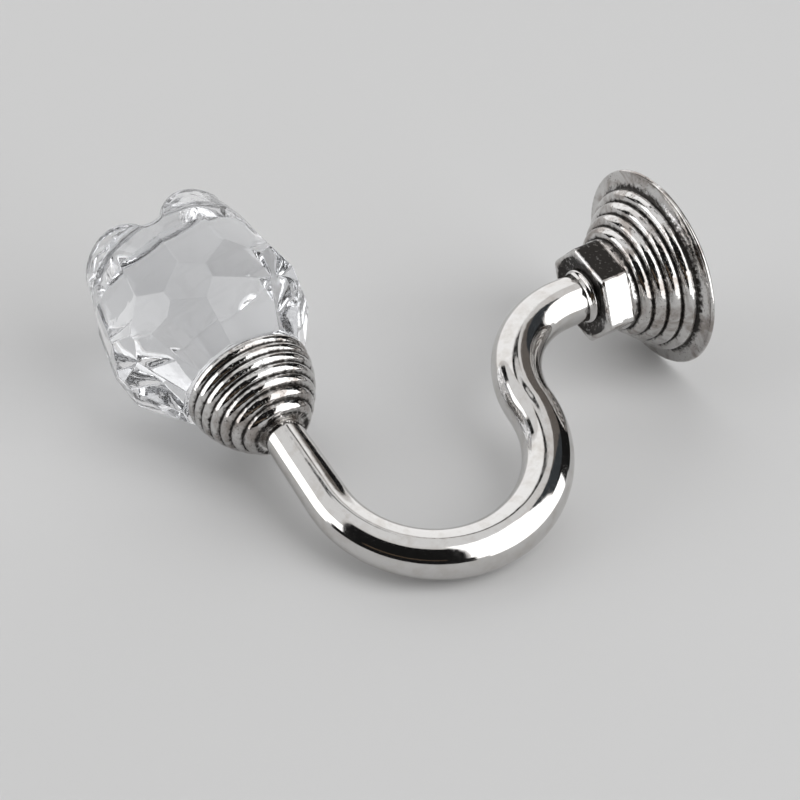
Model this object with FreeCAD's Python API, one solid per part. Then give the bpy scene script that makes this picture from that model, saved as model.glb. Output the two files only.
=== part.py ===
import FreeCAD, Part
import math
import os

# Curtain holdback with a ribbed cast wall base, a tapered hook arm and a cut-glass bud.
# Millimetres.  The wall is the plane Y = 0 and the holdback stands out from it along -Y.
# The arm lies in the plane Z = 0, its hook bellies out to +X and the bud points to -X,
# leaning about a degree towards the wall.
# The origin is the centre of the base's back face, at the mouth of its threaded hole.

Vector = FreeCAD.Vector

# Wall base: a hollow ribbed cone with a hexagon cast on its small end
rim_radius = 21.0
rim_edge = 0.7
rim_lip_inset = 0.35
rim_lip_rise = 0.3
rim_flare_bow = 0.3
base_depth = 11.8
neck_radius = 9.6
rib_count = 4
rib_pitch = 2.2
rib_rise = 1.0
first_valley_depth = 1.6
first_valley_radius = 17.2
base_wall = 2.4
hex_across_flats = 18.2
hex_length = 6.0
hex_bevel = 0.5
hex_dish_depth = 0.5
boss_radius = 5.6
thread_radius = 2.5
thread_depth = 10.0
drill_point = 1.4
vent_radius = 0.5

# Arm: a round bar bent in one plane, thinner towards the bud
arm_radius = 5.05
arm_tip_radius = 3.95
arm_collar_radius = 5.8
arm_collar_width = 1.1
arm_collar_round = 0.5
stem_length = 5.6
stem_bend_radius = 20.0
stem_bend_turn = 87.0
hook_entry_radius = 25.2
hook_entry_turn = 68.0
hook_radius = 22.0
hook_turn = 109.9
tip_length = 18.1
spigot_radius = 3.5
spigot_length = 6.4
spigot_chamfer = 0.6

# Bud cup: a ribbed bell that holds the glass
cup_length = 14.2
cup_small_radius = 6.0
cup_rim_radius = 12.9
cup_rib_count = 7
cup_rib_depth = 0.55
cup_rib_crown = 0.1
cup_socket_depth = 3.0
cup_rim_wall = 0.8
cup_seat_depth = 5.0
cup_seat_draft = 2.4

# Stud that draws arm, cup and glass together
stud_radius = 2.0
stud_arm_engagement = 8.0
stud_glass_engagement = 7.0
stud_chamfer = 0.4

# Glass bud: a barrel cut with three rows of flats under a mouth of petals.  Heights are measured
# from the cup's rim, the petals' own from the crown, where the flats end.
bud_girth_radius = 22.4
bud_girth_height = 17.0
bud_shoulder_radius = 19.2
bud_shoulder_height = 6.6
bud_crown_height = 27.4
bud_crown_radius = 18.8
petal_height = 12.1
petal_radius = 16.3
petal_count = 3
petal_thickness = 5.0
petal_lip_round = 1.6
petal_first_dip = -15.0
petal_dip_depth = 7.3
petal_dip_radius = 2.6
petal_shoulder_radius = 12.0
petal_foot_slope = 0.4
mouth_depth = 5.2
mouth_draft = 0.6
mouth_lip_round = 1.6
heart_radius = 7.0
heart_rise = 8.5
upper_flat_count = 12
upper_flat_azimuth = -1.5
upper_flat_height = 23.4
upper_flat_radius = 18.8
upper_flat_tilt = 9.0
middle_flat_count = 12
middle_flat_azimuth = 13.5
middle_flat_height = 13.9
middle_flat_radius = 19.6
middle_flat_tilt = -12.0
lower_flat_azimuths = (-47.0, -29.0, 8.0, 46.0, 71.0, 97.0, 120.0)
lower_flat_height = 4.6
lower_flat_radius = 15.3
lower_flat_tilt = -32.0
stud_bore_clearance = 0.5

# The rows are cut by hand: flats by their number in the row, and how many steps further out they lie
flat_step = 0.1
upper_flat_steps = {8: 4, 9: 6}
middle_flat_steps = {0: -6, 7: 6, 8: 11, 9: 4}
lower_flat_steps = {2: -7, 10: 7, 11: 10, 12: 4}

# Assembly clearances
slip_gap = 0.05
bore_gap = 0.3

# Sizes that follow from those above
base_length = base_depth + hex_length
cup_seat_radius = cup_rim_radius - cup_rim_wall
bud_seat_radius = cup_seat_radius - slip_gap
bud_foot_radius = bud_seat_radius - cup_seat_draft
petal_inner_radius = petal_radius - petal_thickness
bud_height = bud_crown_height + petal_height
mouth_floor_height = bud_height - mouth_depth
heart_height = mouth_floor_height + heart_rise
cutter_size = 4.0 * (bud_girth_radius + bud_height)
cup_web = cup_length - cup_seat_depth - cup_socket_depth


def polar(radius, degrees):
    angle = math.radians(degrees)
    return Vector(radius * math.cos(angle), radius * math.sin(angle), 0)


def line(start, end):
    return Part.LineSegment(start, end).toShape()


def arc(start, middle, end):
    return Part.Arc(start, middle, end).toShape()


def polyline(points):
    return [line(a, b) for a, b in zip(points, points[1:])]


def turned(edges, axis):
    """A closed outline in the XY plane spun round an axis through the origin."""
    return Part.Face(Part.Wire(edges)).revolve(Vector(0, 0, 0), axis, 360)


def rib_arcs(valleys, crests):
    return [arc(valleys[i], crests[i], valleys[i + 1]) for i in range(len(crests))]


# Wall base

def base_point(radius, depth):
    return Vector(radius, -depth, 0)


def base_slope():
    """Loss of radius for each millimetre of depth along the valleys of the ribs."""
    last_valley_depth = first_valley_depth + rib_count * rib_pitch
    return (first_valley_radius - neck_radius) / (last_valley_depth - first_valley_depth)


def base_ribs():
    slope = base_slope()
    valleys = [base_point(first_valley_radius - slope * depth, first_valley_depth + depth)
               for depth in (rib_pitch * i for i in range(rib_count + 1))]
    out = Vector(1, -slope, 0).normalize() * rib_rise
    crests = [(valleys[i] + valleys[i + 1]) * 0.5 + out for i in range(rib_count)]
    return valleys, crests


def base_shell():
    valleys, crests = base_ribs()
    slope = base_slope()
    lip = base_point(rim_radius, rim_edge)
    lip_top = base_point(rim_radius - rim_lip_inset, rim_edge + rim_lip_rise)
    across = (valleys[0] - lip_top).normalize()
    flare_middle = (lip_top + valleys[0]) * 0.5 + Vector(-across.y, across.x, 0) * rim_flare_bow
    wall_across = base_wall * math.sqrt(1 + slope * slope) / slope
    hollow_mouth = first_valley_radius + slope * first_valley_depth - wall_across * slope
    hollow_depth = (hollow_mouth - boss_radius - base_wall) / slope
    edges = [line(base_point(hollow_mouth, 0), base_point(rim_radius, 0)),
             line(base_point(rim_radius, 0), lip),
             line(lip, lip_top),
             arc(lip_top, flare_middle, valleys[0])]
    edges += rib_arcs(valleys, crests)
    edges += polyline([valleys[-1],
                       base_point(neck_radius, base_depth),
                       base_point(0, base_depth),
                       base_point(0, hollow_depth),
                       base_point(boss_radius + base_wall, hollow_depth),
                       base_point(hollow_mouth, 0)])
    shell = turned(edges, Vector(0, 1, 0))
    boss = Part.makeCylinder(boss_radius, hollow_depth, Vector(0, 0, 0), Vector(0, -1, 0))
    return shell.fuse(boss)


def cast_hexagon():
    corner_radius = hex_across_flats / math.sqrt(3)
    corners = [Vector(corner_radius * math.cos(math.radians(60 * i)), -base_depth,
                      corner_radius * math.sin(math.radians(60 * i))) for i in range(7)]
    prism = Part.Face(Part.makePolygon(corners)).extrude(Vector(0, -hex_length, 0))
    front = [edge for edge in prism.Edges
             if all(abs(vertex.Y + base_length) < 1e-6 for vertex in edge.Vertexes)]
    prism = prism.makeChamfer(hex_bevel, front)
    dish = Part.makeCone(arm_collar_radius, hex_across_flats / 2 - hex_bevel, hex_dish_depth,
                         Vector(0, hex_dish_depth - base_length, 0), Vector(0, -1, 0))
    return prism.cut(dish)


def make_wall_base():
    """The casting with its wall thread, the arm's socket and the vent that joins the two."""
    body = base_shell().fuse(cast_hexagon())
    bore = Part.makeCylinder(thread_radius, thread_depth, Vector(0, 0, 0), Vector(0, -1, 0))
    point = Part.makeCone(thread_radius, 0, drill_point, Vector(0, -thread_depth, 0), Vector(0, -1, 0))
    socket = Part.makeCylinder(spigot_radius + slip_gap, spigot_length + bore_gap,
                               Vector(0, -base_length, 0), Vector(0, 1, 0))
    vent = Part.makeCylinder(vent_radius, base_length - thread_depth, Vector(0, -thread_depth, 0),
                             Vector(0, -1, 0))
    return body.cut(bore.fuse([point, socket, vent])).removeSplitter()


# Arm

def arm_start():
    return Vector(0, hex_dish_depth - base_length, 0)


def arm_route():
    """Edges of the arm's centre line: the stem with its bend, then the hook and the tip."""
    place = arm_start()
    heading = -90.0
    runs = []
    steps = ((stem_length, 0, 0), (0, stem_bend_radius, stem_bend_turn),
             (0, hook_entry_radius, -hook_entry_turn), (0, hook_radius, -hook_turn),
             (tip_length + cup_socket_depth, 0, 0))
    for length, radius, turn in steps:
        if length:
            end = place + polar(length, heading)
            runs.append(line(place, end))
        else:
            side = math.copysign(90, turn)
            centre = place + polar(radius, heading + side)
            middle = centre - polar(radius, heading + turn / 2 + side)
            end = centre - polar(radius, heading + turn + side)
            runs.append(arc(place, middle, end))
            heading += turn
        place = end
    return runs, place, polar(1, heading)


def section(centre, direction, radius):
    return Part.Wire(Part.Circle(centre, direction, radius).toShape())


def make_arm():
    runs, tip, direction = arm_route()
    start = arm_start()
    taper_start = runs[3].Vertexes[0].Point
    taper_heading = polar(1, -90.0 + stem_bend_turn - hook_entry_turn)
    stem = Part.Wire(runs[:3]).makePipeShell([section(start, Vector(0, -1, 0), arm_radius)], True, True)
    hook = Part.BRepOffsetAPI.MakePipeShell(Part.Wire(runs[3:]))
    hook.setFrenetMode(True)
    hook.add(section(taper_start, taper_heading, arm_radius))
    hook.add(section(tip, direction, arm_tip_radius))
    hook.build()
    hook.makeSolid()
    collar = Part.makeCylinder(arm_collar_radius - slip_gap, arm_collar_width, start, Vector(0, -1, 0))
    front_rim = min(collar.Edges, key=lambda edge: edge.CenterOfMass.y)
    collar = collar.makeFillet(arm_collar_round, [front_rim])
    spigot = Part.makeCylinder(spigot_radius, spigot_length - hex_dish_depth, start, Vector(0, 1, 0))
    far_rim = max(spigot.Edges, key=lambda edge: edge.CenterOfMass.y)
    spigot = spigot.makeChamfer(spigot_chamfer, [far_rim])
    tapped = Part.makeCylinder(stud_radius + slip_gap, stud_arm_engagement + bore_gap, tip, -direction)
    return stem.fuse([hook.shape(), collar, spigot]).cut(tapped).removeSplitter()


# Bud pieces are drawn upright round the Z axis with the cup's rim at Z = 0, then laid along the tip

def on_tip(shape):
    """Stands an upright bud piece on the arm: its Z runs out along the tip, its X points up."""
    runs, tip, direction = arm_route()
    rim_centre = tip + direction * (cup_length - cup_socket_depth)
    up = Vector(0, 0, 1)
    side = direction.cross(up)
    matrix = FreeCAD.Matrix(up.x, side.x, direction.x, rim_centre.x,
                            up.y, side.y, direction.y, rim_centre.y,
                            up.z, side.z, direction.z, rim_centre.z,
                            0, 0, 0, 1)
    placed = shape.copy()
    placed.Placement = FreeCAD.Placement(matrix)
    return placed


def spun(edges):
    """A closed outline in the XZ plane spun round the Z axis."""
    return Part.Face(Part.Wire(edges)).revolve(Vector(0, 0, 0), Vector(0, 0, 1), 360)


def upright(radius, height):
    return Vector(radius, 0, height)


def bell_radius(height):
    """The cup's outline, a parabola that is widest at the rim."""
    share = height / cup_length
    return cup_rim_radius - (cup_rim_radius - cup_small_radius) * share * share


def make_bud_cup():
    pitch = cup_length / cup_rib_count
    valleys = [upright(bell_radius(-pitch * i) - cup_rib_depth, -pitch * i)
               for i in range(cup_rib_count + 1)]
    crests = [upright(bell_radius(-pitch * (i + 0.5)) + cup_rib_crown, -pitch * (i + 0.5))
              for i in range(cup_rib_count)]
    edges = rib_arcs(valleys, crests)
    edges += polyline([valleys[-1],
                       upright(0, -cup_length),
                       upright(0, -cup_seat_depth),
                       upright(cup_seat_radius - cup_seat_draft, -cup_seat_depth),
                       upright(cup_seat_radius, 0),
                       valleys[0]])
    cup = spun(edges)
    socket = Part.makeCylinder(arm_tip_radius + slip_gap, cup_socket_depth, Vector(0, 0, -cup_length))
    bore = Part.makeCylinder(stud_radius + bore_gap, cup_length, Vector(0, 0, -cup_length))
    return on_tip(cup.cut([socket, bore]))


def make_bud_stud():
    foot = cup_socket_depth - cup_length - stud_arm_engagement
    length = stud_arm_engagement + cup_web + stud_glass_engagement
    stud = Part.makeCylinder(stud_radius, length, Vector(0, 0, foot))
    rims = [edge for edge in stud.Edges if edge.Curve.TypeId == "Part::GeomCircle"]
    return on_tip(stud.makeChamfer(stud_chamfer, rims))


def bud_blank():
    """The glass as pressed: foot, round shoulder, belly and petal wall round a shallow mouth."""
    seat = upright(bud_seat_radius, 0)
    shoulder = upright(bud_shoulder_radius, bud_shoulder_height)
    girth = upright(bud_girth_radius, bud_girth_height)
    outer = polyline([upright(0, -cup_seat_depth), upright(bud_foot_radius, -cup_seat_depth), seat])
    outer.append(arc(seat, shoulder, girth))
    outer += polyline([girth,
                       upright(bud_crown_radius, bud_crown_height),
                       upright(petal_radius, bud_height),
                       upright(0, bud_height),
                       upright(0, -cup_seat_depth)])
    return spun(outer)


def mouth_hollow():
    """What is open inside the ring of petals, wider towards its rounded lip."""
    floor_radius = petal_inner_radius - mouth_draft
    lip = mouth_lip_round
    lean = polar(lip, 45)
    lip_middle = upright(petal_inner_radius + lip - lean.x, bud_height - lip + lean.y)
    edges = polyline([upright(0, mouth_floor_height),
                      upright(floor_radius, mouth_floor_height),
                      upright(petal_inner_radius, bud_height - lip)])
    edges.append(arc(upright(petal_inner_radius, bud_height - lip), lip_middle,
                     upright(petal_inner_radius + lip, bud_height)))
    edges += polyline([upright(petal_inner_radius + lip, bud_height),
                       upright(petal_inner_radius + lip, 2 * bud_height),
                       upright(0, 2 * bud_height),
                       upright(0, mouth_floor_height)])
    return spun(edges)


def bud_heart():
    """The round heart that stands in the mouth, inside the ring of petals."""
    dome_foot = heart_height - heart_radius
    sideways = polar(heart_radius, 45)
    return spun(polyline([upright(0, dome_foot), upright(0, bud_girth_height),
                          upright(heart_radius, bud_girth_height), upright(heart_radius, dome_foot)])
                + [arc(upright(heart_radius, dome_foot), upright(sideways.x, dome_foot + sideways.y),
                       upright(0, heart_height)),
                   line(upright(0, heart_height), upright(0, dome_foot))])


def flat_cutter(azimuth, height, radius, tilt):
    """A block whose inner face is one cut flat of the glass."""
    lean = math.radians(tilt)
    outward = Vector(math.cos(lean), 0, math.sin(lean))
    along = Vector(-math.sin(lean), 0, math.cos(lean))
    size = cutter_size
    block = Part.makeBox(size, size, size)
    matrix = FreeCAD.Matrix(outward.x, 0, along.x, radius - along.x * size / 2,
                            0, 1, 0, -size / 2,
                            outward.z, 0, along.z, height - along.z * size / 2,
                            0, 0, 0, 1)
    block.Placement = FreeCAD.Placement(matrix)
    block.rotate(Vector(0, 0, 0), Vector(0, 0, 1), azimuth)
    return block


def below(height):
    """Keeps a cutter under one height, so that the flats stop where the petals begin."""
    size = cutter_size
    return Part.makeBox(2 * size, 2 * size, size, Vector(-size, -size, height - size))


def flat_row(azimuths, height, radius, tilt, steps):
    return [flat_cutter(azimuth, height, radius + flat_step * steps.get(i, 0), tilt)
            for i, azimuth in enumerate(azimuths)]


def even_azimuths(first, count):
    return [first + 360.0 * i / count for i in range(count)]


def flat_rows():
    upper = even_azimuths(upper_flat_azimuth, upper_flat_count)
    middle = even_azimuths(middle_flat_azimuth, middle_flat_count)
    lower = [azimuth + half_turn for half_turn in (0, 180) for azimuth in lower_flat_azimuths]
    rows = ((upper, upper_flat_height, upper_flat_radius, upper_flat_tilt, upper_flat_steps),
            (middle, middle_flat_height, middle_flat_radius, middle_flat_tilt, middle_flat_steps),
            (lower, lower_flat_height, lower_flat_radius, lower_flat_tilt, lower_flat_steps))
    return [cutter for row in rows for cutter in flat_row(*row)]


def petal_dip(azimuth):
    """A wavy notch cut outwards through the petal wall: a round valley between two round shoulders."""
    shoulder_height = bud_height - petal_shoulder_radius
    valley_height = bud_height - petal_dip_depth + petal_dip_radius
    both = petal_dip_radius + petal_shoulder_radius
    rise = valley_height - shoulder_height
    spread = math.sqrt(both * both - rise * rise)
    share = petal_dip_radius / both
    halfway = math.radians(45) - math.atan2(rise, spread) / 2

    def place(across, height):
        return Vector(0, across, height)

    def half(side):
        touch = place(side * spread * share, valley_height - rise * share)
        middle = place(side * (spread - petal_shoulder_radius * math.sin(halfway)),
                       shoulder_height + petal_shoulder_radius * math.cos(halfway))
        return touch, middle, place(side * spread, bud_height)

    left_touch, left_middle, left_crest = half(-1)
    right_touch, right_middle, right_crest = half(1)
    valley = place(0, bud_height - petal_dip_depth)
    above = 2 * bud_height
    edges = [arc(left_touch, valley, right_touch), arc(right_touch, right_middle, right_crest)]
    edges += polyline([right_crest, place(spread, above), place(-spread, above), left_crest])
    edges.append(arc(left_crest, left_middle, left_touch))
    notch = Part.Face(Part.Wire(edges)).extrude(Vector(2 * bud_girth_radius, 0, 0))
    notch.rotate(Vector(0, 0, 0), Vector(0, 0, 1), azimuth)
    return notch


def petal_foot():
    """A cone round the axis that the dips stop at, so that they slope up to the floor of the mouth."""
    rise = petal_height - mouth_lip_round
    return Part.makeCone(petal_inner_radius + rise * petal_foot_slope, petal_inner_radius, rise,
                         Vector(0, 0, bud_crown_height))


def petal_wall_radius(height):
    share = (height - bud_crown_height) / petal_height
    return bud_crown_radius + (petal_radius - bud_crown_radius) * share


def outer_lip(bud):
    """The wavy edge along the outside of the petals."""
    lowest = bud_height - petal_dip_depth - petal_dip_radius
    edges = []
    for edge in bud.Edges:
        middle = edge.valueAt((edge.FirstParameter + edge.LastParameter) / 2)
        off_wall = abs(math.hypot(middle.x, middle.y) - petal_wall_radius(middle.z))
        if middle.z > lowest and off_wall < 0.01 and edge.Length > 0.01:
            edges.append(edge)
    return edges


def make_glass_bud():
    bud = bud_blank()
    foot = petal_foot()
    for i in range(petal_count):
        bud = bud.cut(petal_dip(petal_first_dip + 360.0 * i / petal_count).cut(foot))
    bud = bud.makeFillet(petal_lip_round, outer_lip(bud)).cut(mouth_hollow())
    zone = below(bud_crown_height)
    for cutter in flat_rows():
        bud = bud.cut(cutter.common(zone))
    bore = Part.makeCylinder(stud_radius + stud_bore_clearance, stud_glass_engagement + bore_gap,
                             Vector(0, 0, -cup_seat_depth))
    return on_tip(bud.fuse(bud_heart()).cut(bore))


def write_parts():
    os.makedirs("parts", exist_ok=True)
    pieces = {"wall_base": make_wall_base(),
              "arm": make_arm(),
              "bud_cup": make_bud_cup(),
              "bud_stud": make_bud_stud(),
              "glass_bud": make_glass_bud()}
    for name, shape in pieces.items():
        solid = shape.Solids[0] if len(shape.Solids) == 1 else shape
        solid.exportStep("parts/" + name + ".step")
        print(name, "solids", len(shape.Solids), "valid", shape.isValid(), "volume", round(shape.Volume, 1))


write_parts()
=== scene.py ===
import math

import bmesh
import bpy
import numpy as np
from mathutils import Matrix, Vector, noise


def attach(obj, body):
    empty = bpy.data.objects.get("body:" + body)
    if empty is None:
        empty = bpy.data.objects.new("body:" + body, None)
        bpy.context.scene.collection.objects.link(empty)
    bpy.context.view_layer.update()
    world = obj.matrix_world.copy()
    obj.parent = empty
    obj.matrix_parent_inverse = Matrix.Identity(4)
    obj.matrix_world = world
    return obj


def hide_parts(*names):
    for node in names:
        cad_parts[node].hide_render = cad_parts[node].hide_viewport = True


# Curtain holdback lying on a pale table: chromed castings, a bent chromed arm and a cut-glass bud.
# Shapes are worked out in millimetres in the object's own frame and turned into metres at the end.

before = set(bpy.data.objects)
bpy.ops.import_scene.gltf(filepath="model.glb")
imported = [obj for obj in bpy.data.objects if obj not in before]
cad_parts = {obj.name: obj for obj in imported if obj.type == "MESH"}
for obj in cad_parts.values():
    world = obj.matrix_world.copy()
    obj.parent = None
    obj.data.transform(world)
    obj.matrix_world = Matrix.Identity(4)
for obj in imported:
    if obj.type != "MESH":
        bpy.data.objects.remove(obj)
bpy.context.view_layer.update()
MM = 0.001

# Radius of the rings that are closed with one face on the axis
AXIS_RING = 0.02

# Wall base, with the sizes of the solids
RIM_RADIUS = 21.0
RIM_EDGE = 0.7
BASE_DEPTH = 11.8
NECK_RADIUS = 9.6
RIB_COUNT = 4
RIB_PITCH = 2.2
RIB_RISE = 1.0
VALLEY_DEPTH = 1.6
VALLEY_RADIUS = 17.2
BASE_WALL = 2.4
BOSS_RADIUS = 5.6
THREAD_RADIUS = 2.5
THREAD_DEPTH = 10.0
THREAD_PITCH = 0.8
DRILL_POINT = 1.4
HEX_ACROSS_FLATS = 18.2
HEX_LENGTH = 6.0
HEX_BEVEL = 0.5
HEX_DISH = 0.5
HEX_CORNER = 0.35
HEX_APOTHEM = HEX_ACROSS_FLATS / 2
HEX_FRONT = BASE_DEPTH + HEX_LENGTH

# Wall base, what the solids leave out
HEX_CORNER_EASE = 0.12
HEX_DISH_STEP = 7.6
EDGE_ROUND = 0.3
FLARE_SAG = (0.25, 0.2)
THREAD_GROOVE = 0.18
THREAD_MOUTH = 0.2
BASE_AROUND = 288
RIB_POINTS = 18

# How strong the painted shade, near black, is on the hexagon: on the front, and on its sides between two
# angles;
# below zero a side gets no painted shade and is free of stains
FRONT_PAINTED_SHADE = 0.85
SIDE_PAINTED_SHADES = (((63, 117), 0.95), ((117, 147), 0.8), ((2, 58), -1.0))

# Arm
ARM_RADIUS = 5.05
ARM_TIP_RADIUS = 3.95
COLLAR_RADIUS = 5.75
COLLAR_WIDTH = 1.1
SPIGOT_RADIUS = 3.5
SPIGOT_LENGTH = 5.9
SPIGOT_CHAMFER = 0.6
STEM_LENGTH = 5.6
ARM_BENDS = ((20.0, 87.0), (25.2, -68.0), (22.0, -109.9))
TIP_LENGTH = 18.1
ARM_AROUND = 96
STEM_STATIONS = 8
TIP_STATIONS = 24
BEND_STEP = 1.5

# Bud cup and glass
CUP_LENGTH = 14.2
CUP_SMALL_RADIUS = 6.0
CUP_RIM_RADIUS = 12.9
CUP_RIBS = 7
CUP_RIB_DEPTH = 0.55
CUP_SOCKET_DEPTH = 3.0
CUP_SEAT_DEPTH = 5.0
CUP_SEAT_DRAFT = 2.4
CUP_RIM_WALL = 0.8
CUP_CREST = 0.2
# How far the painted shade reaches up from the cup's rib valleys, in rib depths
CUP_SHADE_REACH = 1.4
CUP_AROUND = 256
STUD_RADIUS = 2.0
STUD_ARM = 8.0
STUD_GLASS = 7.0
STUD_GLASS_GAP = 0.5
BORE_GAP = 0.3
SLIP_GAP = 0.05

BUD_CROWN_HEIGHT = 27.4
BUD_CROWN_RADIUS = 18.8
BUD_HEIGHT = 39.5
PETAL_RADIUS = 16.3
PETAL_THICKNESS = 5.0
PETAL_COUNT = 3
PETAL_FIRST_DIP = -15.0
PETAL_DIP_HEIGHT = 32.2
PETAL_DIP_RADIUS = 2.6
PETAL_SHOULDER_RADIUS = 12.0
MOUTH_FLOOR = 34.3
MOUTH_EASE = 1.5
HEART_RADIUS = 7.0
HEART_HEIGHT = 42.8
LOWER_AZIMUTHS = (-47.0, -29.0, 8.0, 46.0, 71.0, 97.0, 120.0)
UPPER_FLATS = dict(azimuths=[-1.5 + 30 * i for i in range(12)], height=23.4, radius=18.8, tilt=9.0,
                   changes={8: 0.4, 9: 0.6})
MIDDLE_FLATS = dict(azimuths=[13.5 + 30 * i for i in range(12)], height=13.9, radius=19.6, tilt=-12.0,
                    changes={0: -0.6, 7: 0.6, 8: 1.1, 9: 0.4})
LOWER_FLATS = dict(azimuths=[a + turn for turn in (0, 180) for a in LOWER_AZIMUTHS], height=4.6,
                   radius=15.3, tilt=-32.0, changes={2: -0.7, 10: 0.7, 11: 1.0, 12: 0.4})

# Glass, what the solids leave out
PETAL_RIPPLE = 0.16
FLAT_BEVEL = 0.24
CREASE_STEP = 0.2
CREASE_FADE = 4.5
GLASS_FLOOR = 0.4
GLASS_DEPTH_TINT = 5.0
BLOCK_HALF = 30.0
CROWN_AROUND = 360
CROWN_FOOT = 4
FOOT_ROWS = 4
WALL_ROWS = 28
LIP_ROWS = 18
RIPPLE_EASE_ROWS = 8
FOOT_AROUND = 144
BORE_AROUND = 64

# Camera and table, found by fitting the photo's outlines
CAMERA_PLACE = Vector((217.22, -221.64, 326.70)) * MM
CAMERA_FORWARD = Vector((-0.50363, 0.37431, -0.77862))
CAMERA_UP = Vector((-0.69255, 0.36386, 0.62288))
CAMERA_LENS = 97.6
SENSOR = 36.0
TABLE_NORMAL = Vector((-0.24300, 0.07548, 0.96708)).normalized()
TABLE_LEVEL = -20.97 * MM
TABLE_REACH = 1.1
TABLE_FADE = (0.35, 1.0)

# Stage: far cards light the object, near ones and those before the boxes only show in it
STAGE_CENTRE = Vector((-5.0, -54.0, 0.0)) * MM
STAGE_RADIUS = 1.2
BEFORE_BOXES = STAGE_RADIUS * 0.98
NEAR_RADIUS = 0.13
CARD_COLUMNS = 24
CARD_ROWS = 12
WORLD_LIGHT = 0.12
WORLD_SEEN = 0.85


# Points and meshes

def new_object(name, mesh, material):
    piece = bpy.data.objects.new(name, mesh)
    bpy.context.scene.collection.objects.link(piece)
    piece.data.materials.append(material)
    return piece


def mesh_from(name, points, faces):
    """A mesh in metres from points in millimetres."""
    mesh = bpy.data.meshes.new(name)
    mesh.from_pydata([tuple(p * MM) for p in points], [], faces)
    mesh.validate()
    mesh.update()
    return mesh


def ring_angles(around):
    return [2 * math.pi * j / around for j in range(around)]


def ring_faces(rings, around, closed=False):
    """Quads between rings of equal count; closed joins the last ring to the first."""
    faces = []
    last = rings if closed else rings - 1
    for i in range(last):
        a, b = i * around, (i + 1) % rings * around
        for j in range(around):
            k = (j + 1) % around
            faces.append((a + j, b + j, b + k, a + k))
    return faces


def oval_points(centre, across, rise, angles):
    """Points of an oval in a plane, at angles in degrees."""
    return [(centre[0] + across * math.cos(math.radians(a)), centre[1] + rise * math.sin(math.radians(a)))
            for a in angles]


def arc_points(centre, radius, start, end, count):
    """Points on an arc in a plane, angles in degrees, ends included."""
    return oval_points(centre, radius, radius, np.linspace(start, end, count))


def line_points(start, end, shares):
    """Points on a straight line, at shares of its length."""
    return [(start[0] + (end[0] - start[0]) * s, start[1] + (end[1] - start[1]) * s) for s in shares]


def arc_through(a, m, b, count):
    """Points on the arc through three points, both ends included."""
    ax, ay, mx, my, bx, by = *a, *m, *b
    d = 2 * (ax * (my - by) + mx * (by - ay) + bx * (ay - my))
    sa, sm, sb = ax * ax + ay * ay, mx * mx + my * my, bx * bx + by * by
    cx = (sa * (my - by) + sm * (by - ay) + sb * (ay - my)) / d
    cy = (sa * (bx - mx) + sm * (ax - bx) + sb * (mx - ax)) / d
    radius = math.hypot(ax - cx, ay - cy)
    start, mid, end = (math.degrees(math.atan2(y - cy, x - cx)) for x, y in (a, m, b))
    turn = (end - start) % 360
    if (mid - start) % 360 > turn:
        turn -= 360
    return arc_points((cx, cy), radius, start, start + turn, count)


def spin(profile, around, place):
    """A ring of points for each (radius, height) of a profile."""
    return [place(radius, angle, height) for radius, height in profile for angle in ring_angles(around)]


def closed_mesh(name, points, around):
    """A closed mesh from rings of points in millimetres, with its faces turned outwards."""
    rings = len(points) // around
    faces = ring_faces(rings, around)
    faces.append(tuple(reversed(range(around))))
    faces.append(tuple((rings - 1) * around + j for j in range(around)))
    mesh = bpy.data.meshes.new(name)
    mesh.from_pydata([tuple(p) for p in points], [], faces)
    bm = bmesh.new()
    bm.from_mesh(mesh)
    bmesh.ops.recalc_face_normals(bm, faces=bm.faces)
    bm.to_mesh(mesh)
    bm.free()
    return mesh


def finish_mesh(piece):
    """Merges doubled points, turns all faces outwards and shades them smooth."""
    bm = bmesh.new()
    bm.from_mesh(piece.data)
    bmesh.ops.remove_doubles(bm, verts=bm.verts, dist=0.5e-6)
    bmesh.ops.recalc_face_normals(bm, faces=bm.faces)
    bm.to_mesh(piece.data)
    bm.free()
    piece.data.shade_smooth()
    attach(piece, "root")


def weigh_normals(piece, weight=80):
    """Large faces keep their own direction and narrow bevels turn smoothly between them."""
    modifier = piece.modifiers.new("weigh", "WEIGHTED_NORMAL")
    modifier.mode = "FACE_AREA"
    modifier.weight = weight
    modifier.keep_sharp = True


# Materials

PLATE = (0.66, 0.65, 0.64)
PLATE_STAIN = (0.36, 0.33, 0.31)
# Painted shade: the near black put into the castings' grooves and onto the hexagon's marked faces
PAINTED_SHADE_BLACK = (0.035, 0.032, 0.03)
SPECK_BLACK = (0.02, 0.018, 0.017)
ARM_PLATE = (0.64, 0.63, 0.62)
ARM_HAZE = (0.55, 0.525, 0.50)
TABLE_GREY = (0.68, 0.68, 0.68, 1)


def node_of(tree, kind):
    return next(node for node in tree.nodes if node.type == kind)


def material_nodes(name):
    material = bpy.data.materials.new(name)
    material.use_nodes = True
    tree = material.node_tree
    return material, tree, node_of(tree, "BSDF_PRINCIPLED")


def millimetres(tree):
    """Object coordinates in millimetres."""
    coordinates = tree.nodes.new("ShaderNodeTexCoord")
    scale = tree.nodes.new("ShaderNodeVectorMath")
    scale.operation = "SCALE"
    scale.inputs["Scale"].default_value = 1 / MM
    tree.links.new(coordinates.outputs["Object"], scale.inputs[0])
    return scale.outputs[0]


def noise_map(tree, vector, scale, detail=3.0, roughness=0.55, distortion=0.0):
    texture = tree.nodes.new("ShaderNodeTexNoise")
    texture.inputs["Scale"].default_value = scale
    texture.inputs["Detail"].default_value = detail
    texture.inputs["Roughness"].default_value = roughness
    texture.inputs["Distortion"].default_value = distortion
    tree.links.new(vector, texture.inputs["Vector"])
    return texture.outputs["Fac"]


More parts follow.
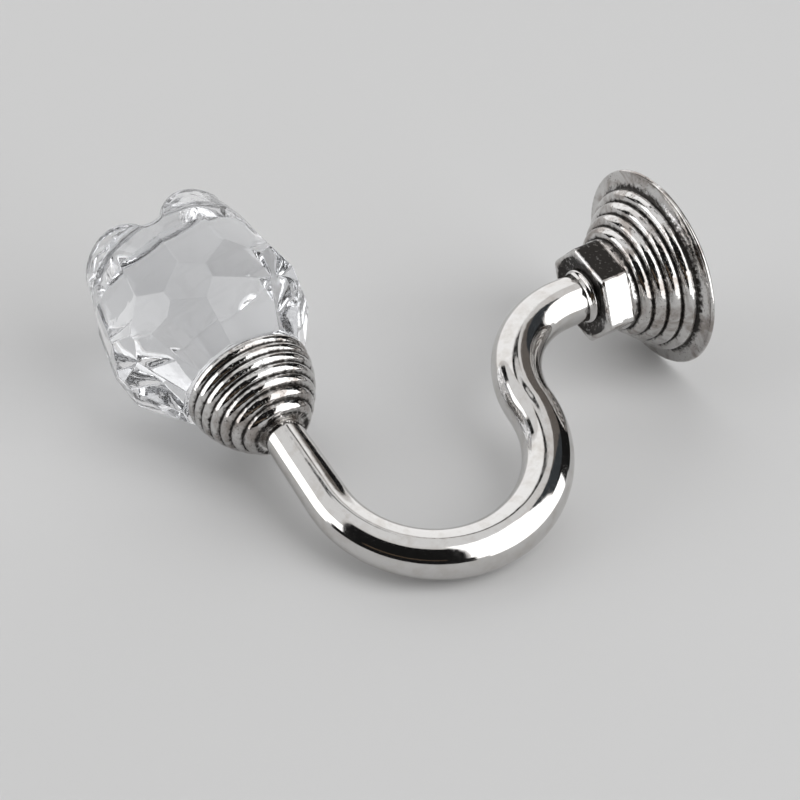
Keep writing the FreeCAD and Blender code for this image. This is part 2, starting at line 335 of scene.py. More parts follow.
def remap(tree, value, low, high, to_low, to_high):
    node = tree.nodes.new("ShaderNodeMapRange")
    node.inputs["From Min"].default_value = low
    node.inputs["From Max"].default_value = high
    node.inputs["To Min"].default_value = to_low
    node.inputs["To Max"].default_value = to_high
    tree.links.new(value, node.inputs["Value"])
    return node.outputs["Result"]


def bump(tree, height, distance, below=None):
    """A bump whose height of one stands for the distance in millimetres."""
    node = tree.nodes.new("ShaderNodeBump")
    node.inputs["Strength"].default_value = 1.0
    node.inputs["Distance"].default_value = distance * MM
    tree.links.new(height, node.inputs["Height"])
    if below is not None:
        tree.links.new(below, node.inputs["Normal"])
    return node.outputs["Normal"]


def blend(tree, share, first, second):
    """First colour at 0, second at 1; each is a colour or a socket."""
    node = tree.nodes.new("ShaderNodeMix")
    node.data_type = "RGBA"
    tree.links.new(share, node.inputs["Factor"])
    for name, colour in (("A", first), ("B", second)):
        if isinstance(colour, tuple):
            node.inputs[name].default_value = (*colour, 1)
        else:
            tree.links.new(colour, node.inputs[name])
    return node.outputs["Result"]


def math_node(tree, operation, first, second):
    node = tree.nodes.new("ShaderNodeMath")
    node.operation = operation
    for i, value in enumerate((first, second)):
        if isinstance(value, (int, float)):
            node.inputs[i].default_value = value
        else:
            tree.links.new(value, node.inputs[i])
    return node.outputs[0]


def chrome(name, roughness, orange_peel):
    """Bright nickel-chrome plate with slow waves and a fine haze."""
    material, tree, shader = material_nodes(name)
    shader.inputs["Metallic"].default_value = 1.0
    where = millimetres(tree)
    patches = remap(tree, noise_map(tree, where, 0.35, 4.0), 0.45, 0.75, 0.0, 1.0)
    tree.links.new(blend(tree, patches, ARM_PLATE, ARM_HAZE), shader.inputs["Base Color"])
    haze = remap(tree, noise_map(tree, where, 1.1, 5.0), 0.35, 0.75, roughness * 0.6, roughness * 1.6)
    tree.links.new(haze, shader.inputs["Roughness"])
    tree.links.new(bump(tree, noise_map(tree, where, 0.22, 2.0), orange_peel), shader.inputs["Normal"])
    return material


def cast_chrome(name, roughness, orange_peel, pits):
    """Plate over a rough casting with black specks and brown streaks, and painted shade, near black and
    rougher, in the grooves and on the hexagon's marked faces.
    """
    material, tree, shader = material_nodes(name)
    shader.inputs["Metallic"].default_value = 1.0
    where = millimetres(tree)
    # The stored mark with ragged noise is painted shade: near black and rougher in the grooves and on the
    # hexagon's marked faces
    painted_shade = tree.nodes.new("ShaderNodeAttribute")
    painted_shade.attribute_name = "painted_shade"
    ragged = remap(tree, noise_map(tree, where, 1.1, 5.0, 0.65), 0.25, 0.75, -0.45, 0.45)
    depth = remap(tree, math_node(tree, "ADD", painted_shade.outputs["Fac"], ragged), 0.36, 0.80, 0.0, 1.0)
    crowd = remap(tree, noise_map(tree, where, 0.22, 3.0), 0.40, 0.64, 0.0, 0.085)
    grit = noise_map(tree, where, 2.3, 5.0, 0.7)
    specks = remap(tree, math_node(tree, "SUBTRACT", grit, crowd), 0.335, 0.30, 0.0, 1.0)
    patches = remap(tree, noise_map(tree, where, 0.16, 5.0, 0.62, 0.9), 0.46, 0.62, 0.0, 1.0)
    stained = remap(tree, painted_shade.outputs["Fac"], -1.0, 0.0, 0.0, 1.0)
    patches = math_node(tree, "MULTIPLY", patches, stained)
    plate = blend(tree, patches, PLATE, PLATE_STAIN)
    plate = blend(tree, depth, plate, PAINTED_SHADE_BLACK)
    plate = blend(tree, specks, plate, SPECK_BLACK)
    tree.links.new(plate, shader.inputs["Base Color"])
    haze = remap(tree, noise_map(tree, where, 1.1, 5.0), 0.35, 0.75, roughness * 0.6, roughness * 1.6)
    tree.links.new(math_node(tree, "MAXIMUM", haze, math_node(tree, "MULTIPLY", depth, 0.4)),
                   shader.inputs["Roughness"])
    normal = bump(tree, noise_map(tree, where, 0.30, 3.0), orange_peel)
    grain = remap(tree, grit, 0.26, 0.40, -1.0, 0.0)
    normal = bump(tree, grain, pits, normal)
    tree.links.new(normal, shader.inputs["Normal"])
    return material


def steel(name):
    """Plain grey steel with a slow change of tone."""
    material, tree, shader = material_nodes(name)
    shader.inputs["Metallic"].default_value = 1.0
    where = millimetres(tree)
    tone = remap(tree, noise_map(tree, where, 1.5, 4.0), 0.3, 0.7, 0.45, 0.62)
    mix = tree.nodes.new("ShaderNodeCombineColor")
    for socket in ("Red", "Green", "Blue"):
        tree.links.new(tone, mix.inputs[socket])
    tree.links.new(mix.outputs["Color"], shader.inputs["Base Color"])
    shader.inputs["Roughness"].default_value = 0.32
    return material


def clear_glass(name):
    """Clear pressed glass: faint waves on its surface and a faint cool grey in its depth."""
    material, tree, shader = material_nodes(name)
    shader.inputs["Base Color"].default_value = (0.985, 0.99, 1.0, 1)
    shader.inputs["Transmission Weight"].default_value = 1.0
    shader.inputs["IOR"].default_value = 1.52
    shader.inputs["Roughness"].default_value = 0.0
    where = millimetres(tree)
    waves = noise_map(tree, where, 0.25, 2.0, 0.5, 0.6)
    tree.links.new(bump(tree, waves, 0.03), shader.inputs["Normal"])
    depth = tree.nodes.new("ShaderNodeVolumeAbsorption")
    depth.inputs["Color"].default_value = (0.0, 0.02, 0.07, 1)
    depth.inputs["Density"].default_value = GLASS_DEPTH_TINT
    tree.links.new(depth.outputs[0], node_of(tree, "OUTPUT_MATERIAL").inputs["Volume"])
    return material


CAST_CHROME = cast_chrome("cast_chrome_plate", 0.07, 0.14, 0.025)
CUP_CHROME = cast_chrome("cup_chrome_plate", 0.06, 0.16, 0.03)
ARM_CHROME = chrome("arm_chrome_plate", 0.085, 0.03)
STUD_STEEL = steel("stud_steel")
BUD_GLASS = clear_glass("bud_glass")


# Wall base: one run of rings from its boss over the back, the rim and the ribs to the hexagon and its
# socket, and a second one for the threaded hole

def wall_place(radius, angle, depth):
    return Vector((radius * math.cos(angle), -depth, radius * math.sin(angle)))


def base_slope():
    return (VALLEY_RADIUS - NECK_RADIUS) / (RIB_COUNT * RIB_PITCH)


def rib_run(valleys, crests):
    """Arcs over the crests, from valley to valley."""
    run = []
    for i, crest in enumerate(crests):
        arc = arc_through(valleys[i], crest, valleys[i + 1], RIB_POINTS)
        run += arc if i == 0 else arc[1:]
    return run


def hexagon_radius(apothem, angle):
    """Distance from the axis to a hexagon with rounded corners, whose flats lie at the apothem."""
    turn = (angle + math.pi / 6) % (math.pi / 3) - math.pi / 6
    flat = apothem / math.cos(math.pi / 6 - abs(turn))
    corner = apothem * 2 / math.sqrt(3) - HEX_CORNER * (2 / math.sqrt(3) - 1) * 2
    ease = HEX_CORNER_EASE
    return -ease * math.log(math.exp(-flat / ease) + math.exp(-corner / ease))


def base_profile():
    """Radius and depth from the boss over the hollow, the rim and the ribs to the neck."""
    slope = base_slope()
    outward = Vector((1, slope)).normalized()
    valleys = [(VALLEY_RADIUS - slope * RIB_PITCH * i, VALLEY_DEPTH + RIB_PITCH * i)
               for i in range(RIB_COUNT + 1)]
    crests = [((a[0] + b[0]) / 2 + outward.x * RIB_RISE, (a[1] + b[1]) / 2 + outward.y * RIB_RISE)
              for a, b in zip(valleys, valleys[1:])]
    wall_across = BASE_WALL * math.sqrt(1 + slope * slope)
    hollow_mouth = VALLEY_RADIUS + slope * VALLEY_DEPTH - wall_across
    hollow_depth = (hollow_mouth - BOSS_RADIUS - BASE_WALL) / slope
    run = [(BOSS_RADIUS - EDGE_ROUND, 0), (BOSS_RADIUS, EDGE_ROUND)]
    run += [(BOSS_RADIUS, hollow_depth * s) for s in (0.3, 0.6, 0.9)]
    run += [(BOSS_RADIUS + EDGE_ROUND, hollow_depth), (BOSS_RADIUS + BASE_WALL, hollow_depth)]
    run += [(hollow_mouth - slope * d, d) for d in np.linspace(hollow_depth * 0.95, EDGE_ROUND, 12)]
    run += [(hollow_mouth + EDGE_ROUND, 0), (RIM_RADIUS - EDGE_ROUND, 0)]
    lip = RIM_EDGE / 2 + 0.05
    run += arc_points((RIM_RADIUS - lip, lip + 0.05), lip, -70, 110, 12)
    top, valley = run[-1], valleys[0]
    flare = ((top[0] + valley[0]) / 2 - FLARE_SAG[0], (top[1] + valley[1]) / 2 - FLARE_SAG[1])
    run += arc_through(top, flare, valley, 14)[1:]
    run += rib_run(valleys, crests)[1:]
    run += [(NECK_RADIUS, (valleys[-1][1] + BASE_DEPTH) / 2), (NECK_RADIUS, BASE_DEPTH - 0.15),
            (NECK_RADIUS - 0.15, BASE_DEPTH)]
    return run


def hexagon_sections():
    """Apothem and depth of the hexagon's rings, with its bevel towards the front."""
    apothem, front, bevel = HEX_APOTHEM, HEX_FRONT, HEX_BEVEL
    return [(apothem, BASE_DEPTH + 0.02), (apothem, BASE_DEPTH + 0.4), (apothem, (BASE_DEPTH + front) / 2),
            (apothem, front - bevel - 0.1), (apothem - 0.04, front - bevel),
            (apothem - bevel * 0.5, front - bevel * 0.42), (apothem - bevel, front - 0.02),
            (apothem - bevel - 0.06, front)]


def socket_profile():
    """Radius and depth over the dished front and down the arm's socket to its floor."""
    dish = HEX_FRONT - HEX_DISH
    wall = SPIGOT_RADIUS + SLIP_GAP
    floor = dish - SPIGOT_LENGTH - BORE_GAP
    return [(HEX_APOTHEM - HEX_BEVEL - 0.35, HEX_FRONT), (HEX_DISH_STEP, HEX_FRONT - HEX_DISH * 0.45),
            (COLLAR_RADIUS, dish), (wall, dish), (wall, floor), (AXIS_RING, floor)]


def thread_profile():
    """Radius and depth up the drilled hole, over the turns of its thread and out at the back."""
    run = [(AXIS_RING, THREAD_DEPTH + DRILL_POINT), (THREAD_RADIUS, THREAD_DEPTH)]
    for i in range(int(THREAD_DEPTH / THREAD_PITCH) * 2, 0, -1):
        run.append((THREAD_RADIUS - (THREAD_GROOVE if i % 2 else 0.0), i * THREAD_PITCH / 2 - 0.1))
    run.append((THREAD_RADIUS + THREAD_MOUTH, 0))
    return run


def make_wall_base():
    around = BASE_AROUND
    points = spin(base_profile(), around, wall_place)
    for apothem, depth in hexagon_sections():
        points += [wall_place(hexagon_radius(apothem, angle), angle, depth) for angle in ring_angles(around)]
    points += spin(socket_profile(), around, wall_place)
    start = len(points)
    faces = ring_faces(start // around, around)
    points += spin(thread_profile(), around, wall_place)
    hole_faces = ring_faces((len(points) - start) // around, around)
    faces += [tuple(start + k for k in face) for face in hole_faces]
    back = len(points) - around
    faces += [(back + j, j, (j + 1) % around, back + (j + 1) % around) for j in range(around)]
    faces.append(tuple(start + j for j in range(around)))
    faces.append(tuple(start - around + j for j in reversed(range(around))))
    piece = new_object("wall_base_cast", mesh_from("wall_base_cast", points, faces), CAST_CHROME)
    finish_mesh(piece)
    weigh_normals(piece)
    paint_shade(piece, base_painted_shade)
    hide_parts("wall_base")


def paint_shade(piece, shade_at):
    """Stores on every point how much painted shade it gets: 0 on crests and plain faces, 1 at the bottom of
    the grooves.
    """
    marks = piece.data.attributes.new("painted_shade", "FLOAT", "POINT")
    for vertex, mark in zip(piece.data.vertices, marks.data):
        mark.value = shade_at(vertex.co / MM)


def hexagon_painted_shade(depth, radius, angle):
    """The front and the upper sides get painted shade, near black; the right side gets none and is kept free
    of stains.
    """
    if depth > HEX_FRONT - HEX_DISH - 0.05 and radius < HEX_APOTHEM - HEX_BEVEL - 0.1:
        return FRONT_PAINTED_SHADE
    if radius > HEX_APOTHEM - 0.1 and depth < HEX_FRONT - HEX_BEVEL * 0.8:
        for (low, high), mark in SIDE_PAINTED_SHADES:
            if low <= angle < high:
                return mark
    return 0.0


# Painted shade in the wall base's rib valleys, from the ribs' own shape, and on the hexagon
def base_painted_shade(point):
    depth, radius = -point.y, math.hypot(point.x, point.z)
    slope = base_slope()
    if depth > BASE_DEPTH + 0.2:
        return hexagon_painted_shade(depth, radius, math.degrees(math.atan2(point.z, point.x)))
    if not RIM_EDGE < depth < BASE_DEPTH or radius < NECK_RADIUS - 1:
        return 0.0
    over = (radius - VALLEY_RADIUS + slope * (depth - VALLEY_DEPTH)) / math.sqrt(1 + slope * slope)
    return min(1.0, max(0.0, 1 - over / RIB_RISE))


# Painted shade in the cup's rib valleys
def cup_painted_shade(point):
    away = point - RIM_CENTRE
    height = away.dot(BUD_OUT)
    radius = (away - BUD_OUT * height).length
    if radius < CUP_SMALL_RADIUS - 1 or not -CUP_LENGTH < height < 0:
        return 0.0
    over = radius - bell_radius(height) + CUP_RIB_DEPTH
    return min(1.0, max(0.0, 1 - over / (CUP_RIB_DEPTH * CUP_SHADE_REACH)))


# Arm

def plane_direction(angle):
    """Direction in the plane Z = 0 for an angle in degrees."""
    return Vector((math.cos(math.radians(angle)), math.sin(math.radians(angle)), 0))


def arm_stations():
    """Points along the arm's centre line with heading and distance: straights and arcs in the plane Z = 0."""
    place = Vector((0, HEX_DISH - HEX_FRONT, 0))
    heading = -90.0
    stations = []
    travelled = 0.0

    def straight(length, count):
        nonlocal place, travelled
        ahead = plane_direction(heading)
        for i in range(count):
            stations.append((place + ahead * length * i / count, heading, travelled + length * i / count))
        place = place + ahead * length
        travelled += length

    straight(STEM_LENGTH, STEM_STATIONS)
    for radius, turn in ARM_BENDS:
        side = math.copysign(90, turn)
        centre = place + plane_direction(heading + side) * radius
        length = math.radians(abs(turn)) * radius
        count = int(abs(turn) / BEND_STEP)
        for i in range(count):
            now = heading + turn * i / count
            point = centre - plane_direction(now + side) * radius
            stations.append((point, now, travelled + length * i / count))
        place = centre - plane_direction(heading + turn + side) * radius
        travelled += length
        heading += turn
    straight(TIP_LENGTH + CUP_SOCKET_DEPTH, TIP_STATIONS)
    stations.append((place, heading, travelled))
    return stations


def arm_radius(travelled, total):
    """Full size to the start of the hook, then evenly thinner to the tip."""
    radius, turn = ARM_BENDS[-1]
    hook = total - math.radians(abs(turn)) * radius - TIP_LENGTH - CUP_SOCKET_DEPTH
    fall = max(0.0, (travelled - hook) / (total - hook))
    return ARM_RADIUS - (ARM_RADIUS - ARM_TIP_RADIUS) * fall


def make_arm():
    around = ARM_AROUND
    stations = arm_stations()
    start = stations[0][0]
    end, end_heading, total = stations[-1]
    points = []

    def ring(point, heading, radius):
        across = plane_direction(heading + 90)
        for angle in ring_angles(around):
            points.append(point + across * radius * math.cos(angle)
                          + Vector((0, 0, 1)) * radius * math.sin(angle))

    bead = COLLAR_WIDTH / 2
    collar = [(AXIS_RING, -SPIGOT_LENGTH), (SPIGOT_RADIUS - SPIGOT_CHAMFER, -SPIGOT_LENGTH),
              (SPIGOT_RADIUS, SPIGOT_CHAMFER - SPIGOT_LENGTH), (SPIGOT_RADIUS, -0.01),
              (SPIGOT_RADIUS + 0.02, 0.0), (COLLAR_RADIUS - 0.25, 0.0)]
    collar += arc_points((COLLAR_RADIUS - bead, bead), bead, -75, 75, 11)
    for radius, along in collar:
        ring(start + Vector((0, -along, 0)), -90.0, radius)
    for point, heading, travelled in stations:
        if travelled > COLLAR_WIDTH:
            ring(point, heading, arm_radius(travelled, total))
    hole_floor = end - plane_direction(end_heading) * (STUD_ARM + BORE_GAP)
    ring(end, end_heading, ARM_TIP_RADIUS - 0.3)
    ring(end, end_heading, STUD_RADIUS + SLIP_GAP)
    ring(hole_floor, end_heading, STUD_RADIUS + SLIP_GAP)
    ring(hole_floor, end_heading, AXIS_RING)
    faces = ring_faces(len(points) // around, around)
    faces.append(tuple(range(around)))
    faces.append(tuple(len(points) - 1 - j for j in range(around)))
    piece = new_object("arm_bar", mesh_from("arm_bar", points, faces), ARM_CHROME)
    finish_mesh(piece)
    weigh_normals(piece)
    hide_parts("arm")


# Bud pieces stand round the tip's axis: height runs out from the cup's rim, angle 0 is up

def bud_frame():
    """Cup's rim centre with the bud's own directions: up, sideways and out along the tip."""
    tip, heading, _ = arm_stations()[-1]
    out = plane_direction(heading)
    up = Vector((0, 0, 1))
    return tip + out * (CUP_LENGTH - CUP_SOCKET_DEPTH), up, out.cross(up), out


RIM_CENTRE, BUD_UP, BUD_SIDE, BUD_OUT = bud_frame()


def bud_place(radius, angle, height):
    return (RIM_CENTRE + BUD_UP * radius * math.cos(angle) + BUD_SIDE * radius * math.sin(angle)
            + BUD_OUT * height)


def bell_radius(height):
    share = height / CUP_LENGTH
    return CUP_RIM_RADIUS - (CUP_RIM_RADIUS - CUP_SMALL_RADIUS) * share * share


def cup_profile():
    """Radius and height up the stud's hole and the seat, down the ribs and up the arm's socket."""
    pitch = CUP_LENGTH / CUP_RIBS
    valleys = [(bell_radius(-pitch * i) - CUP_RIB_DEPTH, -pitch * i) for i in range(CUP_RIBS + 1)]
    crests = [(bell_radius(-pitch * (i + 0.5)) + CUP_RIB_DEPTH * CUP_CREST, -pitch * (i + 0.5))
              for i in range(CUP_RIBS)]
    seat = CUP_RIM_RADIUS - CUP_RIM_WALL
    socket_floor = CUP_SOCKET_DEPTH - CUP_LENGTH
    return [(STUD_RADIUS + BORE_GAP, socket_floor), (STUD_RADIUS + BORE_GAP, -CUP_SEAT_DEPTH),
            (seat - CUP_SEAT_DRAFT, -CUP_SEAT_DEPTH), (seat, 0), *rib_run(valleys, crests),
            (ARM_TIP_RADIUS + SLIP_GAP, -CUP_LENGTH), (ARM_TIP_RADIUS + SLIP_GAP, socket_floor)]


def make_bud_cup():
    points = spin(cup_profile(), CUP_AROUND, bud_place)
    faces = ring_faces(len(points) // CUP_AROUND, CUP_AROUND, closed=True)
    piece = new_object("bud_cup_cast", mesh_from("bud_cup_cast", points, faces), CUP_CHROME)
    finish_mesh(piece)
    weigh_normals(piece)
    paint_shade(piece, cup_painted_shade)
    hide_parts("bud_cup")


def flat_planes():
    """Every cut flat as (outward direction, distance from the axis point) in the bud's own frame."""
    planes = []
    for row in (UPPER_FLATS, MIDDLE_FLATS, LOWER_FLATS):
        lean = math.radians(row["tilt"])
        for i, azimuth in enumerate(row["azimuths"]):
            a = math.radians(azimuth)
            radius = row["radius"] + row["changes"].get(i, 0.0)
            normal = Vector((math.cos(lean) * math.cos(a), math.cos(lean) * math.sin(a), math.sin(lean)))
            point = Vector((radius * math.cos(a), radius * math.sin(a), row["height"]))
            planes.append((normal, normal.dot(point)))
    return planes


def crease_radius(angle):
    """Distance from the axis to the line where the upper flats end under the petals."""
    nearest = BUD_CROWN_RADIUS
    fall = (BUD_CROWN_HEIGHT - UPPER_FLATS["height"]) * math.tan(math.radians(UPPER_FLATS["tilt"]))
    for i, azimuth in enumerate(UPPER_FLATS["azimuths"]):
        turn = angle - math.radians(azimuth)
        if math.cos(turn) > 0.5:
            radius = UPPER_FLATS["radius"] + UPPER_FLATS["changes"].get(i, 0.0) - fall
            nearest = min(nearest, radius / math.cos(turn))
    return nearest


def cut_body(floor, ceiling):
    """The block that all the flats leave between two heights."""
    bm = bmesh.new()
    bmesh.ops.create_cube(bm, size=1.0)
    for vert in bm.verts:
        x, y, z = vert.co
        vert.co = Vector((x * 2 * BLOCK_HALF, y * 2 * BLOCK_HALF, floor + (z + 0.5) * (ceiling - floor)))
    for normal, distance in flat_planes():
        whole = list(bm.verts) + list(bm.edges) + list(bm.faces)
        cut = bmesh.ops.bisect_plane(bm, geom=whole, dist=1e-5, plane_co=normal * distance, plane_no=normal,
                                     clear_outer=True)
        rim = [e for e in cut["geom_cut"] if isinstance(e, bmesh.types.BMEdge)]
        if rim:
            bmesh.ops.contextual_create(bm, geom=rim)
    bmesh.ops.dissolve_degenerate(bm, dist=1e-4, edges=list(bm.edges))
    bmesh.ops.recalc_face_normals(bm, faces=list(bm.faces))
    bmesh.ops.bevel(bm, geom=list(bm.edges), offset=FLAT_BEVEL, segments=2, profile=0.5,
                    affect="EDGES", clamp_overlap=True)
    mesh = bpy.data.meshes.new("cut_body")
    bm.to_mesh(mesh)
    bm.free()
    return mesh


def petal_edge(angle):
    """Height of the petals' rim: round valleys between broad round crests."""
    step = 2 * math.pi / PETAL_COUNT
    turn = (angle - math.radians(PETAL_FIRST_DIP) + step / 2) % step - step / 2
    across = abs(PETAL_RADIUS * math.sin(turn))
    both = PETAL_DIP_RADIUS + PETAL_SHOULDER_RADIUS
    drop = PETAL_DIP_HEIGHT + PETAL_DIP_RADIUS - BUD_HEIGHT + PETAL_SHOULDER_RADIUS
    spread = math.sqrt(both * both - drop * drop)
    touch = spread * PETAL_DIP_RADIUS / both
    if across < touch:
        return PETAL_DIP_HEIGHT + PETAL_DIP_RADIUS - math.sqrt(PETAL_DIP_RADIUS ** 2 - across ** 2)
    if across < spread:
        fall = PETAL_SHOULDER_RADIUS - math.sqrt(PETAL_SHOULDER_RADIUS ** 2 - (spread - across) ** 2)
        return BUD_HEIGHT - fall
    return BUD_HEIGHT


def ripple(angle, height):
    """Flow lines of the pressed glass inside the petals, from -1 to 1."""
    swirl = noise.noise(Vector((math.cos(angle) * 2.2, math.sin(angle) * 2.2, height * 0.12)))
    fine = noise.noise(Vector((math.cos(angle) * 7, math.sin(angle) * 7, height * 0.35 + 9)))
    return 0.6 * math.sin(height * 3.6 + swirl * 12) + 0.4 * fine


def petal_column(angle):
    """Profile of the petals, the mouth and the heart at one angle round the bud."""
    lip = PETAL_THICKNESS / 2
    side = lip * 0.8
    valley = PETAL_RADIUS - PETAL_THICKNESS
    slope = (BUD_CROWN_RADIUS - PETAL_RADIUS) / (BUD_HEIGHT - lip - BUD_CROWN_HEIGHT)
    top = petal_edge(angle)
    radius = PETAL_RADIUS + slope * (BUD_HEIGHT - top)
    crease = crease_radius(angle) - CREASE_STEP
    foot = BUD_CROWN_HEIGHT - CROWN_FOOT
    run = [(AXIS_RING, foot), (crease - 3, foot), (crease - 0.4, BUD_CROWN_HEIGHT - 0.5),
           (crease, BUD_CROWN_HEIGHT - 0.02)]
    wall_top = top - side
    for s in np.linspace(0.02, 1, WALL_ROWS):
        height = BUD_CROWN_HEIGHT + (wall_top - BUD_CROWN_HEIGHT) * s
        away = max(0.0, 1 - (height - BUD_CROWN_HEIGHT) / CREASE_FADE)
        plain = BUD_CROWN_RADIUS + (radius - BUD_CROWN_RADIUS) * s
        run.append((plain - (BUD_CROWN_RADIUS - crease) * away ** 2, height))
    over = 90 + 90 * min(1.0, max(0.0, (top - MOUTH_FLOOR - 0.5) / 2.5))
    run += oval_points((radius - lip, wall_top), lip, side, np.linspace(0, over, LIP_ROWS + 1)[1:])
    brim = (valley - 0.6, MOUTH_FLOOR + MOUTH_EASE)
    run += line_points(run[-1], brim, np.linspace(0.06, 1, 18))
    middle = ((brim[0] + HEART_RADIUS) / 2, brim[1])
    run += oval_points(middle, (brim[0] - HEART_RADIUS) / 2, -MOUTH_EASE, range(18, 180, 18))
    dome = HEART_HEIGHT - HEART_RADIUS
    run += line_points((HEART_RADIUS, brim[1]), (HEART_RADIUS, dome), np.linspace(0.0, 1, 10))
    run += [(max(AXIS_RING, r), h)
            for r, h in oval_points((0, dome), HEART_RADIUS, HEART_RADIUS, range(9, 91, 9))]
    return run


def upright(radius, angle, height):
    return Vector((radius * math.cos(angle), radius * math.sin(angle), height))


def crown_mesh():
    """Petals, mouth and heart, closed underneath inside the cut body."""
    angles = ring_angles(CROWN_AROUND)
    columns = [petal_column(angle) for angle in angles]
    rows = len(columns[0])
    lip_middle = FOOT_ROWS + WALL_ROWS + LIP_ROWS // 2
    points = []
    for i in range(rows):
        ease = min(1.0, (i - lip_middle) / RIPPLE_EASE_ROWS)
        for angle, column in zip(angles, columns):
            radius, height = column[i]
            if lip_middle < i < rows - 2:
                radius += ease * PETAL_RIPPLE * ripple(angle, height)
            points.append(upright(radius, angle, height))
    return closed_mesh("crown", points, CROWN_AROUND)


def combine(base, mesh, operation):
    """Joins or cuts one closed mesh with another."""
    other = bpy.data.objects.new("tool", mesh)
    bpy.context.scene.collection.objects.link(other)
    modifier = base.modifiers.new("combine", "BOOLEAN")
    modifier.operation = operation
    modifier.solver = "EXACT"
    modifier.object = other
    graph = bpy.context.evaluated_depsgraph_get()
    result = bpy.data.meshes.new_from_object(base.evaluated_get(graph))
    base.modifiers.clear()
    base.data = result
    bpy.data.objects.remove(other)


def make_glass_bud():
    body = cut_body(GLASS_FLOOR, BUD_CROWN_HEIGHT)
    bud = bpy.data.objects.new("glass_bud_cut", body)
    bpy.context.scene.collection.objects.link(bud)
    combine(bud, crown_mesh(), "UNION")
    seat = CUP_RIM_RADIUS - CUP_RIM_WALL - SLIP_GAP
    narrow = seat - CUP_SEAT_DRAFT
    foot = [(narrow - EDGE_ROUND, -CUP_SEAT_DEPTH), (narrow, EDGE_ROUND - CUP_SEAT_DEPTH), (seat - 0.02, 0.0),
            (seat + GLASS_FLOOR, GLASS_FLOOR + 0.02), (seat - 1.5, 1.5)]
    combine(bud, closed_mesh("foot", spin(foot, FOOT_AROUND, upright), FOOT_AROUND), "UNION")
    bore_top = STUD_GLASS - CUP_SEAT_DEPTH + BORE_GAP
    bore = [(STUD_RADIUS + STUD_GLASS_GAP, -CUP_SEAT_DEPTH - 1), (STUD_RADIUS + STUD_GLASS_GAP, bore_top)]
    combine(bud, closed_mesh("bore", spin(bore, BORE_AROUND, upright), BORE_AROUND), "DIFFERENCE")
    to_frame = Matrix((BUD_UP, BUD_SIDE, BUD_OUT)).transposed().to_4x4()
    to_frame.translation = RIM_CENTRE
    bud.data.transform(Matrix.Scale(MM, 4) @ to_frame)
    bud.data.materials.clear()
    bud.data.materials.append(BUD_GLASS)
    finish_mesh(bud)
    weigh_normals(bud, 100)
    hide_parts("glass_bud")


make_wall_base()
make_arm()
make_bud_cup()
make_glass_bud()
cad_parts["bud_stud"].material_slots[0].material = STUD_STEEL


# Stage: a pale table, soft boxes and dark cards that the chrome and the glass show

table_ahead = (CAMERA_FORWARD - TABLE_NORMAL * CAMERA_FORWARD.dot(TABLE_NORMAL)).normalized()
table_right = table_ahead.cross(TABLE_NORMAL)


def toward(azimuth, elevation):
    """Direction over the table: azimuth 0 is away from the camera and 90 is to its right."""
    a, e = math.radians(azimuth), math.radians(elevation)
    level = table_ahead * math.cos(a) + table_right * math.sin(a)
    return level * math.cos(e) + TABLE_NORMAL * math.sin(e)


def make_camera():
    data = bpy.data.cameras.new("camera")
    data.lens = CAMERA_LENS
    data.sensor_width = SENSOR
    data.clip_start = 0.01
    camera = bpy.data.objects.new("camera", data)
    bpy.context.scene.collection.objects.link(camera)
    back = -CAMERA_FORWARD.normalized()
    right = CAMERA_UP.cross(back).normalized()
    up = back.cross(right)
    camera.matrix_world = Matrix.Translation(CAMERA_PLACE) @ Matrix((right, up, back)).transposed().to_4x4()
    bpy.context.scene.camera = camera


def make_table():
    """A pale table that fades into the backdrop and shows from above only, so it hides nothing."""
    material, tree, shader = material_nodes("pale_table")
    shader.inputs["Base Color"].default_value = TABLE_GREY
    shader.inputs["Roughness"].default_value = 1.0
    shader.inputs["Specular IOR Level"].default_value = 0.0
    side = tree.nodes.new("ShaderNodeNewGeometry")
    clear = tree.nodes.new("ShaderNodeBsdfTransparent")
    mix = tree.nodes.new("ShaderNodeMixShader")
    place = tree.nodes.new("ShaderNodeTexCoord")
    away = tree.nodes.new("ShaderNodeVectorMath")
    away.operation = "DISTANCE"
    away.inputs[1].default_value = STAGE_CENTRE
    tree.links.new(place.outputs["Object"], away.inputs[0])
    fade = remap(tree, away.outputs["Value"], *TABLE_FADE, 0.0, 1.0)
    tree.links.new(math_node(tree, "MAXIMUM", side.outputs["Backfacing"], fade), mix.inputs["Fac"])
    tree.links.new(shader.outputs[0], mix.inputs[1])
    tree.links.new(clear.outputs[0], mix.inputs[2])
    tree.links.new(mix.outputs[0], node_of(tree, "OUTPUT_MATERIAL").inputs["Surface"])
    centre = STAGE_CENTRE - TABLE_NORMAL * (STAGE_CENTRE.dot(TABLE_NORMAL) - TABLE_LEVEL)
    corners = [centre + (table_right * x + table_ahead * y) * TABLE_REACH
               for x, y in ((-1, -1), (1, -1), (1, 1), (-1, 1))]
    mesh = bpy.data.meshes.new("table")
    mesh.from_pydata([tuple(c) for c in corners], [], [(0, 1, 2, 3)])
    table = new_object("table", mesh, material)


def glow(name, strength, tint=(1, 1, 1)):
    material, tree, shader = material_nodes(name)
    shader.inputs["Base Color"].default_value = (0, 0, 0, 1)
    shader.inputs["Roughness"].default_value = 1.0
    shader.inputs["Specular IOR Level"].default_value = 0.0
    shader.inputs["Emission Color"].default_value = (*tint, 1)
    shader.inputs["Emission Strength"].default_value = strength
    return material


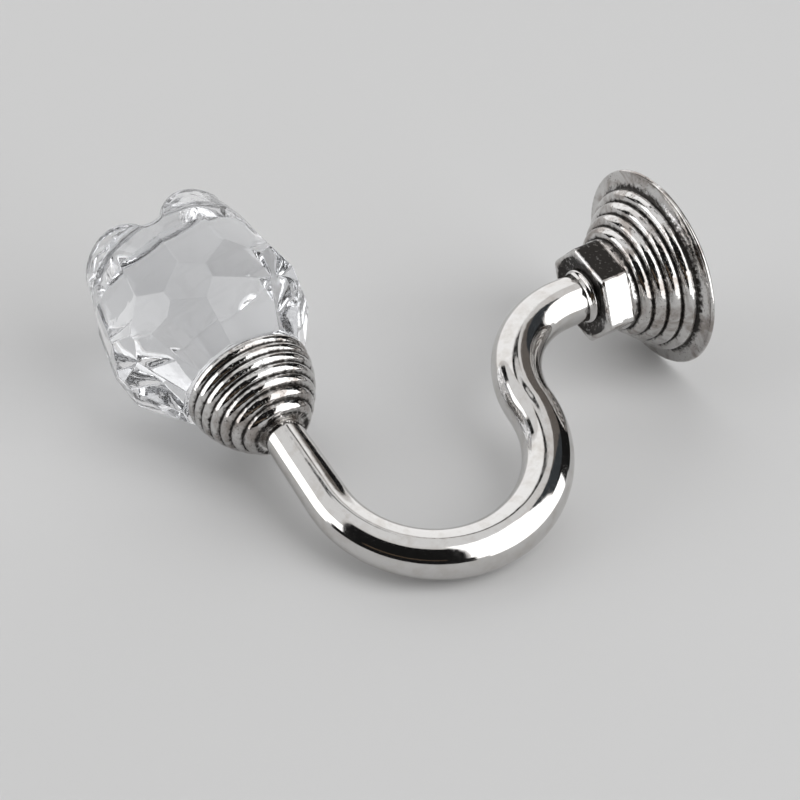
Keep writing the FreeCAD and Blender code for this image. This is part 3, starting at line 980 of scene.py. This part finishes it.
def card(name, azimuths, elevations, material, lights, distance=STAGE_RADIUS, through_glass=True):
    """A curved card round the object; one that lights nothing only shows in the chrome and the glass."""
    across = CARD_COLUMNS + 1
    points = [STAGE_CENTRE + toward(a, e) * distance
              for e in np.linspace(*elevations, CARD_ROWS + 1) for a in np.linspace(*azimuths, across)]
    corners = [r * across + c for r in range(CARD_ROWS) for c in range(CARD_COLUMNS)]
    faces = [(k, k + 1, k + across + 1, k + across) for k in corners]
    mesh = bpy.data.meshes.new(name)
    mesh.from_pydata([tuple(p) for p in points], [], faces)
    piece = new_object(name, mesh, material)
    piece.visible_camera = False
    piece.visible_shadow = False
    piece.visible_diffuse = lights
    piece.visible_transmission = through_glass


def make_lights():
    world = bpy.data.worlds.new("studio")
    bpy.context.scene.world = world
    world.use_nodes = True
    tree = world.node_tree
    background = node_of(tree, "BACKGROUND")
    background.inputs["Color"].default_value = (1.0, 0.985, 0.97, 1)
    path = tree.nodes.new("ShaderNodeLightPath")
    seen = math_node(tree, "MAXIMUM", path.outputs["Is Camera Ray"], path.outputs["Is Glossy Ray"])
    seen = math_node(tree, "MAXIMUM", seen, path.outputs["Is Transmission Ray"])
    strength = remap(tree, seen, 0.0, 1.0, WORLD_LIGHT, WORLD_SEEN)
    tree.links.new(strength, background.inputs["Strength"])
    bright = glow("soft_box", 2.3)
    panel = glow("back_panel", 1.25)
    ceiling = glow("ceiling_panel", 0.9)
    dark = glow("dark_card", 0.012)
    brown = glow("brown_card", 0.12, (1.0, 0.72, 0.5))
    streak = glow("streak_card", 0.16, (1.0, 0.9, 0.82))
    bluish = glow("bluish_card", 0.06, (0.8, 0.9, 1.0))
    card("right_box", (84, 150), (1, 68), bright, True)
    card("left_box", (-124, -78), (1, 30), bright, True)
    card("back_panel", (-58, 23), (1, 60), panel, True)
    card("ceiling_panel", (0, 360), (68, 90), ceiling, True)
    card("left_panel", (-120, -66), (32, 68), ceiling, True)
    card("near_right_box", (88, 148), (-9.5, 20), bright, False, NEAR_RADIUS)
    card("near_left_box", (-124, -80), (-9.5, 20), bright, False, NEAR_RADIUS)
    card("near_front_card", (155, 232), (-9.5, 2), dark, False, NEAR_RADIUS, False)
    card("near_back_card", (29, 80), (-9.5, 2), dark, False, NEAR_RADIUS, False)
    card("back_right_card", (26, 82), (-6, 32), dark, False, BEFORE_BOXES, False)
    card("brown_streak_card", (26, 52), (32, 60), streak, False, BEFORE_BOXES, False)
    card("blue_streak_card", (52, 82), (32, 60), bluish, False, BEFORE_BOXES, False)
    card("front_card", (152, 236), (-6, 60), dark, False, STAGE_RADIUS, False)
    card("front_brown", (165, 220), (2, 13), brown, False, STAGE_RADIUS * 0.9, False)
    card("left_gap_card", (-76, -62), (-6, 36), dark, False, BEFORE_BOXES, False)
    card("top_gap_card", (-60, 12), (61.5, 66), dark, False, BEFORE_BOXES, False)
    card("high_gap_card", (-60, 12), (72, 74.5), dark, False, STAGE_RADIUS * 0.96, False)


make_camera()
make_table()
make_lights()
bpy.context.scene.view_settings.view_transform = "Standard"
# Light turns many times inside the cut glass before it leaves it
bpy.context.scene.cycles.glossy_bounces = 10
